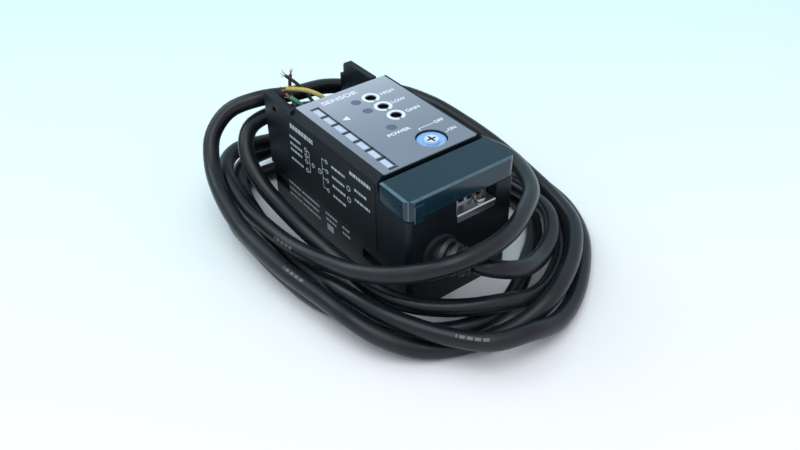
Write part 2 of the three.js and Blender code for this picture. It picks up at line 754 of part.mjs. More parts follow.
function curveThrough(points) {
  return new THREE.CatmullRomCurve3(points.map((p) => new THREE.Vector3(...p)), false, 'centripetal');
}

// Strain relief: a rubber boot with shrinking ribs, bent by the cable, held by a flange in the wall
const bootStart = new THREE.Vector3(bootX, -halfLength - 0.7, bootZ);
const bootTip = new THREE.Vector3(bootX + 4.3, -halfLength - 9.9, bootZ);
const bootAxis = new THREE.QuadraticBezierCurve3(
  bootStart,
  new THREE.Vector3(bootX + 0.4, -halfLength - 5.2, bootZ + 0.5),
  bootTip,
);
const upright = new THREE.Vector3(0, 1, 0);
const ribs = bootRibRadii.map((radius, i) => {
  const along = 0.3 + i * 0.24;
  const disc = new THREE.CylinderGeometry(radius - 0.25, radius, bootRibThickness, 24);
  const turn = new THREE.Quaternion().setFromUnitVectors(upright, bootAxis.getTangentAt(along));
  const centre = bootAxis.getPointAt(along);
  return disc.applyQuaternion(turn).translate(centre.x, centre.y, centre.z);
});
addPiece(
  'cable_boot',
  join(
      tube(bootAxis, bootTipRadius, 8, 20),
      rodAlongY(bootX, -halfLength - 1.4, -halfLength - 0.1, bootZ, bootBaseRadius),
      rodAlongY(bootX, -halfLength - 0.5, -halfLength + caseWall + 0.6, bootZ, cableRadius + 0.3),
      rodAlongY(bootX, -halfLength + caseWall + 0.1, -halfLength + caseWall + 0.9, bootZ, bootFlange),
      ...ribs,
  ),
  finish(0x22272a, 0.6),
);

addPiece(
  'shield_plate_screw',
  cut(
    join(
      post(8.2, plateBackY - 2.4, shelfZ + 0.1, shelfZ + 1.1, 1.5, 20),
      post(8.2, plateBackY - 2.4, shelfZ - plateThickness - 0.2, shelfZ + 0.5, 0.7, 12),
    ),
    block(7, 9.4, plateBackY - 2.6, plateBackY - 2.2, shelfZ + 0.6, shelfZ + 2),
  ),
  steel(),
);

// Cable from the boot: laid round the case five times, the loose end tucked in behind it.
const cableRoute = [
  [-4.5, -50.2, 20], [-1, -54.5, 19.3], [7, -57.3, 16.6], [19, -54, 12.3], [31, -47.5, 11],
  [38.5, -38.5, 11.3], [41.5, -26, 10.3], [40.5, -8, 9.2], [40, 5, 9], [39.3, 18, 6],
  [36, 32, 3.3], [28, 42.5, 3], [16, 47.3, 3], [2, 47.8, 3], [-13, 49.8, 3],
  [-26, 49.5, 3], [-36, 42, 3], [-40.8, 29, 3], [-41.5, 13, 3], [-41.3, -4, 3],
  [-39.3, -20, 3], [-33.5, -34, 3], [-25.5, -46.5, 3], [-14, -55, 3], [0, -57, 3],
  [13, -52.3, 3], [24, -45, 3], [34, -37.7, 3], [41, -29, 3], [43.5, -18, 3],
  [41.5, -5, 3], [36.5, 4.5, 3.2], [32, 13, 7.5], [28.7, 24, 14.5], [26.6, 35.5, 22],
  [21.3, 44.6, 27], [10, 48, 30.5], [-4, 47.5, 32.5], [-17, 48.5, 34.5], [-27.5, 51.5, 32],
  [-35.5, 49.5, 26.5], [-41, 41, 20.5], [-44.3, 29, 16.5], [-45.5, 15, 12.5], [-45, 2, 11],
  [-43.5, -10, 9.5], [-41, -25, 9], [-39, -38, 8.6], [-35.3, -47, 6.6], [-27, -55.5, 3.4],
  [-14, -62, 3], [0, -65.6, 4.3], [12, -66, 8], [24, -61.3, 9], [35, -54, 9],
  [43.5, -45, 9], [48.5, -32, 9], [50.5, -17, 10.5], [50.5, -1, 13.5], [48.7, 16, 16.3],
  [45, 31, 19], [38, 43, 21], [27, 54, 20.5], [15, 59.5, 13.5], [2, 60.5, 7],
  [-10, 58, 6.3], [-21, 54, 8.3], [-29.5, 46.5, 9.5], [-33.7, 35.5, 8.5], [-34.5, 24, 4.8],
  [-34.3, 11, 3], [-34.4, -2, 3], [-34.3, -12, 4.3], [-34.9, -22, 8], [-33.8, -32, 9.5],
  [-31.7, -41, 9.6], [-26.5, -52, 9.2], [-21, -61, 9.1], [-13.5, -69, 9], [-2, -72, 8],
  [10, -71.5, 4.6], [22, -67, 3], [36, -57.5, 3], [47, -46.5, 3], [54.5, -32, 3],
  [57, -15, 3], [57, 2, 3], [55.5, 18, 3], [50.5, 32.5, 3.8], [44.5, 41.5, 6.3],
  [37, 47.8, 9.2], [28, 50, 12.5], [17, 49.5, 18], [6, 48, 23], [-6, 46.5, 26.5],
  [-15, 47, 28], [-24, 44.6, 27], [-29.5, 37.5, 22.5], [-30.3, 28, 16.3], [-29.3, 18, 12.2],
  [-28.4, 6, 9.8], [-27.8, -7, 9], [-27.3, -19, 9], [-26.8, -30, 9], [-24.5, -39, 9],
  [-19.5, -46.5, 9], [-10, -54.3, 9], [1.5, -59.5, 8.6], [10.5, -60, 5.6], [20, -57.5, 3.1],
  [32, -51.5, 3], [41.5, -43, 3], [47.5, -32.5, 3], [50.3, -19, 3], [50.5, -3, 3],
  [49.5, 11, 3], [46.7, 24, 3], [41.3, 36.5, 3], [34, 46.2, 3], [22, 52.5, 5.2],
  [10, 53.5, 8.5], [-3, 52.3, 12], [-16, 53, 14], [-26.5, 52, 15.6], [-34, 46, 15.8],
  [-38, 35.5, 14.8], [-38.8, 24, 11.9], [-37.5, 12, 10.3], [-36.2, 1, 10], [-35, -8, 11.2],
  [-33.5, -19, 14], [-31.5, -29.5, 17], [-27.3, -38.3, 19.5], [-21, -45.5, 22], [-13, -51.8, 25.4],
  [-3, -53.5, 26.5], [8, -51.3, 25.8], [20, -45.2, 24.3], [32, -36.2, 22], [39.5, -25, 20],
  [44.5, -13, 17.8], [44.5, 1, 16], [42.8, 14, 14.5], [41.3, 26, 12.5], [36, 37, 10.5],
  [28, 43.8, 9.5], [17, 46.5, 9.3], [4, 46, 9.3], [-3, 46, 9.4],
];
addPiece('output_cable', tube(curveThrough(cableRoute), cableRadius, cableSteps, 10), jacket());

// Stripped end of the cable: three cores, cut short
const cableEnd = cableRoute[cableRoute.length - 1];
const coreOffsets = [[-0.8, -0.5], [0.8, -0.5], [0, 0.85]];
const coreColours = [0x7a4a2c, 0x2c5fa0, 0x1c1d1f];
coreOffsets.forEach(([across, up], i) => {
  const [x, y, z] = cableEnd;
  const route = [
    [x - tubeGap, y + across, z + up],
    [x - 4, y + across * 1.5, z + up * 1.4],
    [x - 9, y + across * 2.4, z + up * 1.8],
  ];
  addPiece(`cable_core_${i + 1}`, tube(curveThrough(route), coreRadius, 6, 8), finish(coreColours[i], 0.4));
});

// Wires cut off short in the rear terminals, each beside its screw and under its clamp. The last
// points of each are measured from the top rear edge of the panel.
const wireZ = rearBlockTopZ + 0.25 + wireRadius;
const beside = 2.3;
const wires = [
  ['rear_wire_black_1', rearTerminalXs[1] - beside, 0.6, 0x1a1c1e, [
    [-7.6, 3.4, -5.6], [-8.4, 7.2, -1.8], [-11, 8.6, 2.4], [-14.9, 9.6, 6.7],
  ]],
  ['rear_wire_black_2', rearTerminalXs[0] - beside, 0.6, 0x1a1c1e, [
    [-15, 3.4, -5.6], [-13.8, 8, -2], [-12.7, 11, 1.8], [-11.9, 11.2, 5.6],
  ]],
  ['rear_wire_yellow', rearTerminalXs[1] + beside, 0.8, 0xd8c640, [
    [-4, 2.3, -6.5], [-5.6, 1.9, -1.6], [-9.3, 5.4, 0.9], [-15, 10.1, 1.7],
  ]],
  ['rear_wire_green', rearTerminalXs[0] + beside, 0.8, 0x2f8a55, [
    [-11.6, 2.5, -6.5], [-12.8, 2.4, -3], [-14.2, 3.2, -1], [-16.1, 5.8, 0.8],
  ]],
  ['rear_wire_grey', rearTerminalXs[3] - beside, 0.7, 0x8b9298, [
    [6.4, 2.1, -7.4], [6.6, 3.6, -6], [7, 6.2, -5.2],
  ]],
];
wires.forEach(([name, x, radius, colour, rise]) => {
  const route = [
    [x, rearScrewY + 1.9, wireZ],
    [x, rearScrewY - 2.6, wireZ],
    [x, rearScrewY - 4.2, wireZ + 1.6],
    ...rise.map(([across, back, up]) => [across, panelRearY + back, caseHeight + up]),
  ];
  addPiece(name, tube(curveThrough(route), radius, 14, 8), finish(colour, 0.4));
});

export default object;
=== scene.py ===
import math
import random

import bmesh
import bpy
from mathutils import Matrix, Vector


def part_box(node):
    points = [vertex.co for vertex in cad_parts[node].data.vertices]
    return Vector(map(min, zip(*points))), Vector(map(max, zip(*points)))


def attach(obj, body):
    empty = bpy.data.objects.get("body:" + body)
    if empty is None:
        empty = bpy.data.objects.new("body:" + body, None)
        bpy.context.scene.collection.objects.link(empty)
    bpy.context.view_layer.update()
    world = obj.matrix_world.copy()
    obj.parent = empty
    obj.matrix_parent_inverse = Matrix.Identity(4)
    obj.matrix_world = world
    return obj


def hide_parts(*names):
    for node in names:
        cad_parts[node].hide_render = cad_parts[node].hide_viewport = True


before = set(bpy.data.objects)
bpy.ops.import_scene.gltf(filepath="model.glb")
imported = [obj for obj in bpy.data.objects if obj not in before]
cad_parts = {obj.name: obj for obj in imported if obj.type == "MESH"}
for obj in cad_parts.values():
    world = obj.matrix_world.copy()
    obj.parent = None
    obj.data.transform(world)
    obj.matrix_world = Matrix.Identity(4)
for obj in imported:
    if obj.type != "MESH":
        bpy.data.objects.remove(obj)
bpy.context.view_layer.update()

# The sensor lies on a pale table under two wide soft lamps and a bright ceiling.
# The camera looks down on its front left corner from a little over a quarter of a metre.
lens_data = bpy.data.cameras.new("camera")
lens_data.lens = 37.0
lens_data.sensor_width = 36.0
camera = bpy.data.objects.new("camera", lens_data)
camera.location = (-0.1279, -0.1815, 0.1749)
camera.rotation_euler = [math.radians(a) for a in (51.888, 0.619, -37.067)]
bpy.context.collection.objects.link(camera)
bpy.context.scene.camera = camera
bpy.context.scene.view_settings.view_transform = "Standard"


class Signal:
    """The value on one socket of a finish, so that sums of values read as plain sums."""

    def __init__(self, finish, socket):
        self.finish = finish
        self.socket = socket

    def math(self, operation, first, second):
        return self.finish.node("ShaderNodeMath", {"operation": operation}, {0: first, 1: second})

    def __add__(self, other):
        return self.math("ADD", self, other)

    def __sub__(self, other):
        return self.math("SUBTRACT", self, other)

    def __rsub__(self, other):
        return self.math("SUBTRACT", other, self)

    def __mul__(self, other):
        return self.math("MULTIPLY", self, other)

    def __truediv__(self, other):
        return self.math("DIVIDE", self, other)

    def __mod__(self, other):
        return self.math("MODULO", self, other)

    def __pow__(self, other):
        return self.math("POWER", self, other)

    def __gt__(self, other):
        return self.math("GREATER_THAN", self, other)

    def __lt__(self, other):
        return self.math("LESS_THAN", self, other)

    __radd__ = __add__
    __rmul__ = __mul__


class Finish:
    """A surface finish: one Principled shader, its fixed values, and the nodes that feed it."""

    def __init__(self, name, colour, roughness, **fixed):
        self.material = bpy.data.materials.new(name)
        self.material.use_nodes = True
        self.material.diffuse_color = (*colour, 1)
        self.tree = self.material.node_tree
        self.shader = self.tree.nodes["Principled BSDF"]
        self.shader.inputs["Base Color"].default_value = (*colour, 1)
        self.shader.inputs["Roughness"].default_value = roughness
        for socket, value in fixed.items():
            self.shader.inputs[socket.replace("_", " ")].default_value = value

    def node(self, kind, settings, inputs, output=0):
        made = self.tree.nodes.new(kind)
        for key, value in settings.items():
            setattr(made, key, value)
        for key, value in inputs.items():
            self.feed(made.inputs[key], value)
        return Signal(self, made.outputs[output])

    def feed(self, socket, value):
        if isinstance(value, Signal):
            self.tree.links.new(value.socket, socket)
        else:
            socket.default_value = value

    def wear(self, **sockets):
        for name, value in sockets.items():
            self.feed(self.shader.inputs[name.replace("_", " ")], value)
        return self.material

    def place(self):
        return self.node("ShaderNodeTexCoord", {}, {}, output=3)

    def noise(self, scale, detail=2.0, where=None):
        inputs = {"Vector": where or self.place(), "Scale": scale, "Detail": detail}
        return self.node("ShaderNodeTexNoise", {}, inputs)

    def blend(self, amount, first, second):
        settings = {"data_type": "RGBA"}
        inputs = {0: amount}
        for socket, tone in ((6, first), (7, second)):
            inputs[socket] = tone if isinstance(tone, Signal) else (*tone, 1)
        return self.node("ShaderNodeMix", settings, inputs, output=2)

    def split(self, vector):
        """The three parts of a vector."""
        x = self.node("ShaderNodeSeparateXYZ", {}, {"Vector": vector})
        return x, *(Signal(self, x.socket.node.outputs[i]) for i in (1, 2))

    def bump(self, height, distance, strength=1.0):
        inputs = {"Height": height, "Distance": distance, "Strength": strength}
        return self.node("ShaderNodeBump", {}, inputs)


def table_finish():
    finish = Finish("table_paint_and_light_tint", (0.86, 0.92, 0.94), 0.8)
    across, rearward, _ = finish.split(finish.place())
    away = finish.node(
        "ShaderNodeMapRange", {}, {"Value": rearward + 0.45 * across, "From Min": -0.14, "From Max": 0.30}
    )
    cloud = finish.noise(3.0)
    # Painted light: the table is painted pinkish at the front and cyan towards the back right, standing in
    # for the tint of the light falling across it.
    tone = finish.blend(away, (0.93, 0.885, 0.90), (0.62, 0.91, 0.92))
    return finish.wear(Base_Color=tone, Roughness=0.75 + 0.1 * cloud)


table_mesh = bpy.data.meshes.new("table")
table_mesh.from_pydata([(-3, -3, 0), (3, -3, 0), (3, 3, 0), (-3, 3, 0)], [], [(0, 1, 2, 3)])
table = bpy.data.objects.new("table", table_mesh)
table_mesh.materials.append(table_finish())
bpy.context.collection.objects.link(table)

sky = bpy.data.worlds.new("room")
sky.use_nodes = True
sky_tree = sky.node_tree
heading = sky_tree.nodes.new("ShaderNodeTexCoord")
split = sky_tree.nodes.new("ShaderNodeSeparateXYZ")
sky_tree.links.new(heading.outputs["Generated"], split.inputs["Vector"])
near_far = sky_tree.nodes.new("ShaderNodeMapRange")
near_far.inputs["From Min"].default_value = -0.5
near_far.inputs["From Max"].default_value = 0.5
sky_tree.links.new(split.outputs["Y"], near_far.inputs["Value"])
sky_tint = sky_tree.nodes.new("ShaderNodeMix")
sky_tint.data_type = "RGBA"
sky_tint.inputs[6].default_value = (1.0, 0.945, 1.0, 1)
sky_tint.inputs[7].default_value = (0.66, 0.93, 1.06, 1)
sky_tree.links.new(near_far.outputs["Result"], sky_tint.inputs[0])
backdrop = sky_tree.nodes["Background"]
sky_tree.links.new(sky_tint.outputs[2], backdrop.inputs["Color"])
backdrop.inputs["Strength"].default_value = 0.77
bpy.context.scene.world = sky


def soft_lamp(name, size, watts, tint, at, aim):
    data = bpy.data.lights.new(name, "AREA")
    data.shape = "RECTANGLE"
    data.size = size[0]
    data.size_y = size[1]
    data.energy = watts
    data.color = tint
    lamp = bpy.data.objects.new(name, data)
    lamp.location = at
    lamp.rotation_euler = (Vector(aim) - Vector(at)).to_track_quat("-Z", "Y").to_euler()
    bpy.context.collection.objects.link(lamp)


soft_lamp("window_light", (0.9, 0.7), 4.2, (1.0, 0.98, 0.95), (-0.35, 0.95, 0.9), (0, 0, 0.02))
soft_lamp("ceiling_light", (0.9, 0.9), 5.2, (0.95, 0.98, 1.0), (-0.25, -0.15, 1.1), (0, 0, 0.02))


# Output cable: a round rubbery PVC jacket 5.5 mm thick over three cores, extruded in one length.
# It leaves the boot, lies round the case five times and ends behind it, stripped and loose.
CABLE_DIAMETER = 0.0055
CABLE_ROUTE_MM = [
    (-4.5, -50.2, 20), (-1, -54.5, 19.3), (7, -57.3, 16.6), (19, -54, 12.3), (31, -47.5, 11),
    (38.5, -38.5, 11.3), (41.5, -26, 10.3), (40.5, -8, 9.2), (40, 5, 9), (39.3, 18, 6),
    (36, 32, 3.3), (28, 42.5, 3), (16, 47.3, 3), (2, 47.8, 3), (-13, 49.8, 3),
    (-26, 49.5, 3), (-36, 42, 3), (-40.8, 29, 3), (-41.5, 13, 3), (-41.3, -4, 3),
    (-39.3, -20, 3), (-33.5, -34, 3), (-25.5, -46.5, 3), (-14, -55, 3), (0, -57, 3),
    (13, -52.3, 3), (24, -45, 3), (34, -37.7, 3), (41, -29, 3), (43.5, -18, 3),
    (41.5, -5, 3), (36.5, 4.5, 3.2), (32, 13, 7.5), (28.7, 24, 14.5), (26.6, 35.5, 22),
    (21.3, 44.6, 27), (10, 48, 30.5), (-4, 47.5, 32.5), (-17, 48.5, 34.5), (-27.5, 51.5, 32),
    (-35.5, 49.5, 26.5), (-41, 41, 20.5), (-44.3, 29, 16.5), (-45.5, 15, 12.5), (-45, 2, 11),
    (-43.5, -10, 9.5), (-41, -25, 9), (-39, -38, 8.6), (-35.3, -47, 6.6), (-27, -55.5, 3.4),
    (-14, -62, 3), (0, -65.6, 4.3), (12, -66, 8), (24, -61.3, 9), (35, -54, 9),
    (43.5, -45, 9), (48.5, -32, 9), (50.5, -17, 10.5), (50.5, -1, 13.5), (48.7, 16, 16.3),
    (45, 31, 19), (38, 43, 21), (27, 54, 20.5), (15, 59.5, 13.5), (2, 60.5, 7),
    (-10, 58, 6.3), (-21, 54, 8.3), (-29.5, 46.5, 9.5), (-33.7, 35.5, 8.5), (-34.5, 24, 4.8),
    (-34.3, 11, 3), (-34.4, -2, 3), (-34.3, -12, 4.3), (-34.9, -22, 8), (-33.8, -32, 9.5),
    (-31.7, -41, 9.6), (-26.5, -52, 9.2), (-21, -61, 9.1), (-13.5, -69, 9), (-2, -72, 8),
    (10, -71.5, 4.6), (22, -67, 3), (36, -57.5, 3), (47, -46.5, 3), (54.5, -32, 3),
    (57, -15, 3), (57, 2, 3), (55.5, 18, 3), (50.5, 32.5, 3.8), (44.5, 41.5, 6.3),
    (37, 47.8, 9.2), (28, 50, 12.5), (17, 49.5, 18), (6, 48, 23), (-6, 46.5, 26.5),
    (-15, 47, 28), (-24, 44.6, 27), (-29.5, 37.5, 22.5), (-30.3, 28, 16.3), (-29.3, 18, 12.2),
    (-28.4, 6, 9.8), (-27.8, -7, 9), (-27.3, -19, 9), (-26.8, -30, 9), (-24.5, -39, 9),
    (-19.5, -46.5, 9), (-10, -54.3, 9), (1.5, -59.5, 8.6), (10.5, -60, 5.6), (20, -57.5, 3.1),
    (32, -51.5, 3), (41.5, -43, 3), (47.5, -32.5, 3), (50.3, -19, 3), (50.5, -3, 3),
    (49.5, 11, 3), (46.7, 24, 3), (41.3, 36.5, 3), (34, 46.2, 3), (22, 52.5, 5.2),
    (10, 53.5, 8.5), (-3, 52.3, 12), (-16, 53, 14), (-26.5, 52, 15.6), (-34, 46, 15.8),
    (-38, 35.5, 14.8), (-38.8, 24, 11.9), (-37.5, 12, 10.3), (-36.2, 1, 10), (-35, -8, 11.2),
    (-33.5, -19, 14), (-31.5, -29.5, 17), (-27.3, -38.3, 19.5), (-21, -45.5, 22), (-13, -51.8, 25.4),
    (-3, -53.5, 26.5), (8, -51.3, 25.8), (20, -45.2, 24.3), (32, -36.2, 22), (39.5, -25, 20),
    (44.5, -13, 17.8), (44.5, 1, 16), (42.8, 14, 14.5), (41.3, 26, 12.5), (36, 37, 10.5),
    (28, 43.8, 9.5), (17, 46.5, 9.3), (4, 46, 9.3), (-3, 46, 9.4),
]


def smooth_run(points, gap):
    """Points about one gap apart on the smooth curve through the given points, ends included."""
    run = []
    ends = [2 * points[0] - points[1], *points, 2 * points[-1] - points[-2]]
    for before, start, end, after in zip(ends, ends[1:], ends[2:], ends[3:]):
        t0, t1, t2 = [(b - a).length ** 0.5 for a, b in ((before, start), (start, end), (end, after))]
        leave = ((start - before) / t0 - (end - before) / (t0 + t1) + (end - start) / t1) * t1
        arrive = ((end - start) / t1 - (after - start) / (t1 + t2) + (after - end) / t2) * t1
        count = max(2, round((end - start).length / gap))
        for i in range(count):
            t = i / count
            bend = (-3 * start + 3 * end - 2 * leave - arrive) * t * t
            turn = (2 * start - 2 * end + leave + arrive) * t * t * t
            run.append(start + leave * t + bend + turn)
    return [*run, points[-1]]


def tube_mesh(name, run, radius, sides, rounding=0.0):
    """A closed round tube along the run. Its UV map runs in metres along and in turns around."""
    bm = bmesh.new()
    sheet = bm.loops.layers.uv.new("along")
    heading = (run[1] - run[0]).normalized()
    side = heading.cross(Vector((0, 0, 1))).normalized()
    rings = []
    lengths = [0.0]
    for i, point in enumerate(run):
        ahead = run[min(i + 1, len(run) - 1)] - run[max(i - 1, 0)]
        turned = heading.rotation_difference(ahead.normalized())
        heading = ahead.normalized()
        side = (turned @ side).normalized()
        over = heading.cross(side)
        if i:
            lengths.append(lengths[-1] + (point - run[i - 1]).length)
        size = radius - (rounding if i in (0, len(run) - 1) else 0)
        turns = [2 * math.pi * k / sides for k in range(sides)]
        rings.append(
            [bm.verts.new(point + (side * math.cos(a) + over * math.sin(a)) * size) for a in turns]
        )
    for i in range(len(run) - 1):
        for k in range(sides):
            n = (k + 1) % sides
            face = bm.faces.new((rings[i][k], rings[i][n], rings[i + 1][n], rings[i + 1][k]))
            face.smooth = True
            around = (k / sides, (k + 1) / sides)
            along = (lengths[i], lengths[i + 1])
            corners = ((0, 0), (0, 1), (1, 1), (1, 0))
            for loop, (a, b) in zip(face.loops, corners):
                loop[sheet].uv = (along[a], around[b])
    bm.faces.new(rings[0][::-1])
    bm.faces.new(rings[-1])
    bm.normal_update()
    mesh = bpy.data.meshes.new(name)
    bm.to_mesh(mesh)
    bm.free()
    return mesh


def show(name, mesh, materials, body, slot, replaces=()):
    """Puts a finished mesh in the scene as a piece that rides on a body."""
    piece = bpy.data.objects.new(name, mesh)
    bpy.context.collection.objects.link(piece)
    for material in materials:
        mesh.materials.append(material)
    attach(piece, body)
    if replaces:
        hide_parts(*replaces)
    return piece


def jacket_finish():
    finish = Finish("cable_jacket", (0.016, 0.021, 0.025), 0.32, Specular_IOR_Level=0.36)
    smear = finish.noise(60.0, 3.0)
    skin = finish.noise(1500.0, 3.0)
    rub = finish.node(
        "ShaderNodeMapRange", {}, {"Value": smear, "From Min": 0.42, "From Max": 0.72}
    )
    along, around, _ = finish.split(finish.node("ShaderNodeUVMap", {"uv_map": "along"}, {}))
    spaced = (along + 0.05) % 0.21
    in_word = (spaced > 0.010) * (spaced < 0.0195)
    letter = spaced % 0.0021
    in_row = (around > 0.60) * (around < 0.655)
    mark = in_word * in_row * (letter > 0.0006)
    plain = finish.blend(rub, (0.0050, 0.0082, 0.0108), (0.0125, 0.0160, 0.0180))
    return finish.wear(
        Base_Color=finish.blend(mark * 0.42, plain, (0.26, 0.28, 0.29)),
        Roughness=0.27 + 0.16 * rub,
        Normal=finish.bump(skin, 0.00003),
    )


cable_points = [Vector(point) / 1000 for point in CABLE_ROUTE_MM]
cable_run = smooth_run(cable_points, 0.0022)
cable_length = sum((b - a).length for a, b in zip(cable_run, cable_run[1:]))
cable = show(
    "output_cable_jacket",
    tube_mesh("output_cable_jacket", cable_run, CABLE_DIAMETER / 2, 24, 0.00025),
    [jacket_finish()],
    "case",
    "cable_jacket",
    ["output_cable"],
)
cores = [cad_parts[f"cable_core_{i}"] for i in (1, 2, 3)]


# Cores of the output cable: three PVC-covered copper wires that stand out of its stripped end.
# The jacket is stripped about 9 mm back; each core keeps its own colour.
def insulation_finish(name, colour):
    finish = Finish(name, colour, 0.38)
    scuff = finish.noise(900.0, 3.0)
    pale = tuple(c * 1.25 + 0.01 for c in colour)
    return finish.wear(
        Base_Color=finish.blend(scuff, colour, pale),
        Roughness=0.30 + 0.2 * scuff,
        Normal=finish.bump(scuff, 0.00002),
    )


def repaint(node, material):
    """Gives a CAD piece that keeps its own shape its real finish."""
    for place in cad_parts[node].material_slots:
        place.material = material


for core, (name, colour) in zip(
    cores,
    (
        ("core_brown", (0.16, 0.07, 0.035)),
        ("core_blue", (0.03, 0.13, 0.35)),
        ("core_black", (0.012, 0.014, 0.016)),
    ),
):
    repaint(core.name, insulation_finish(name, colour))


# Case: two deep mouldings in black glass-filled resin, satin with a fine spark-eroded grain.
# The upper one carries the roof, the terminal bays and the hinge; the tray closes it from below.
def baked(held):
    """The plain mesh of an object with its modifiers applied."""
    return bpy.data.meshes.new_from_object(held.evaluated_get(bpy.context.evaluated_depsgraph_get()))


def softened(node, name, width, segments=2):
    """A copy of a CAD piece with merged corners and its sharp edges rounded, as a mould leaves them."""
    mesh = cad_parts[node].data.copy()
    mesh.name = name
    mesh.materials.clear()
    bm = bmesh.new()
    bm.from_mesh(mesh)
    bmesh.ops.remove_doubles(bm, verts=bm.verts, dist=0.000002)
    bmesh.ops.dissolve_limit(bm, angle_limit=math.radians(0.6), verts=bm.verts, edges=bm.edges)
    bm.to_mesh(mesh)
    bm.free()
    held = bpy.data.objects.new(name, mesh)
    bpy.context.collection.objects.link(held)
    bevel = held.modifiers.new("rounding", "BEVEL")
    bevel.width = width
    bevel.segments = segments
    bevel.limit_method = "ANGLE"
    bevel.angle_limit = math.radians(35)
    done = baked(held)
    for face in done.polygons:
        face.use_smooth = True
    done.set_sharp_from_angle(angle=math.radians(28))
    held.modifiers.clear()
    held.data = done
    flats = held.modifiers.new("flat_faces", "WEIGHTED_NORMAL")
    flats.weight = 100
    flats.keep_sharp = True
    shaded = baked(held)
    bpy.data.objects.remove(held)
    bpy.data.meshes.remove(mesh)
    bpy.data.meshes.remove(done)
    shaded.name = name
    return shaded


def show_softened(node, name, rounding, segments, material, slot, body="case"):
    """Shows a rounded copy of a CAD piece in its place."""
    return show(name, softened(node, name, rounding, segments), [material], body, slot, [node])


def moulded_finish(name, colour, roughness, grain=0.00003, shine=0.34):
    finish = Finish(name, colour, roughness, Specular_IOR_Level=shine)
    spark = finish.noise(5200.0, 2.0)
    cloud = finish.noise(70.0, 4.0)
    handled = finish.noise(240.0, 5.0)
    settled = (handled ** 3) * 0.25
    dusty = tuple(c * 1.5 + 0.007 for c in colour)
    return finish.wear(
        Base_Color=finish.blend(settled + 0.25 * cloud, colour, dusty),
        Roughness=(roughness - 0.08) + 0.2 * cloud,
        Normal=finish.bump(spark, grain, 0.6),
    )


case_resin = moulded_finish("case_resin", (0.0038, 0.0075, 0.0105), 0.36, shine=0.22)
tray_resin = moulded_finish("tray_resin", (0.0036, 0.0058, 0.0075), 0.34, shine=0.22)
show_softened("upper_case", "upper_case_moulding", 0.00022, 2, case_resin, "case_black")
show_softened("base_case", "base_tray_moulding", 0.0003, 2, tray_resin, "case_black")


# Front cover: a clear smoked polycarbonate lid that swings up on two pins over the terminals.
# It is polished outside, so it mirrors the room; its outer chamfers and rim carry a painted highlight in a
# paler tone, and its thin rear band is a frosted band in that same tone.
def smoked_finish():
    finish = Finish(
        "smoked_polycarbonate",
        (0.010, 0.022, 0.030),
        0.10,
        Alpha=0.88,
        Coat_Weight=0.15,
        Coat_Roughness=0.05,
        Specular_IOR_Level=0.42,
    )
    flow = finish.noise(35.0, 2.0)
    swirl = finish.noise(420.0, 4.0)
    return finish.wear(
        Base_Color=finish.blend(flow, (0.004, 0.019, 0.034), (0.007, 0.033, 0.054)),
        Roughness=0.13 + 0.10 * (swirl ** 2),
    )


# Painted highlight: a pale teal finish for the lid's edge faces, standing in for the light caught along
# them.
def edge_highlight_finish():
    finish = Finish("lid_edge_highlight", (0.10, 0.22, 0.28), 0.22)
    along = finish.noise(300.0, 2.0)
    return finish.wear(
        Base_Color=finish.blend(along, (0.025, 0.07, 0.09), (0.09, 0.19, 0.24)),
        Roughness=0.16 + 0.15 * along,
    )


lid_mesh = softened("front_cover", "smoked_lid", 0.0003, 3)
lid = show(
    "smoked_lid", lid_mesh, [smoked_finish(), edge_highlight_finish()], "cover", "smoked_clear", ["front_cover"]
)
lid_low, lid_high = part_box("front_cover")
# Painted highlight: outer faces at a chamfer angle and the underside of the rim take the pale second
# finish as light caught along the edges; the steep rear faces take it as the frosted band.
for face in lid_mesh.polygons:
    steepest = max(abs(part) for part in face.normal)
    near_rear = face.center.y > lid_high.y - 0.0005 and steepest > 0.9
    on_rim = face.center.z < lid_low.z + 0.0016 and face.normal.z < -0.5
    outside = (
        face.center.z > lid_high.z - 0.0007
        or face.center.y < lid_low.y + 0.0009
        or abs(face.center.x) > lid_high.x - 0.0007
    )
    upright = abs(face.normal.z) < 0.2
    bright = 0.70 < steepest < (0.84 if upright else 0.995)
    if (bright and outside) or near_rear or on_rim:
        face.material_index = 1


# Panel film: a printed grey-blue polyester sheet under a satin varnish, stuck into the roof.
# Its words and rings are screen printed in white and stand three hundredths of a millimetre proud.
def film_finish():
    finish = Finish("panel_film", (0.30, 0.40, 0.52), 0.42, Coat_Weight=0.25, Coat_Roughness=0.35)
    _, rearward, _ = finish.split(finish.place())
    toward_rear = (rearward + 0.025) / 0.048
    mottle = finish.noise(2600.0, 2.0)
    cloud = finish.noise(45.0, 3.0)
    # Painted sheen: the film is painted dark at the front and much lighter toward the rear, standing in
    # for the light it reflects there; the small cloud term is a random tone.
    tone = (toward_rear ** 2.2) * 0.85 + 0.15 * cloud
    return finish.wear(
        Base_Color=finish.blend(tone, (0.158, 0.196, 0.245), (0.400, 0.440, 0.520)),
        Roughness=0.38 + 0.14 * cloud,
        Normal=finish.bump(mottle, 0.00001, 0.5),
    )


def ink_finish(name, colour):
    finish = Finish(name, colour, 0.5)
    worn = finish.noise(3500.0, 3.0)
    faded = tuple(c * 0.82 for c in colour)
    return finish.wear(
        Base_Color=finish.blend(worn ** 2, colour, faded),
        Roughness=0.42 + 0.2 * worn,
    )


def join_meshes(name, meshes):
    """One mesh out of several, with the same material list on each face's own number."""
    bm = bmesh.new()
    for mesh in meshes:
        bm.from_mesh(mesh)
        bpy.data.meshes.remove(mesh)
    joined = bpy.data.meshes.new(name)
    bm.to_mesh(joined)
    bm.free()
    return joined


INK = 0.00003
CAPITAL_SHARE = 0.70
BOX_FACES = [(3, 2, 1, 0), (4, 5, 6, 7), *((i, (i + 1) % 4, (i + 1) % 4 + 4, i + 4) for i in range(4))]


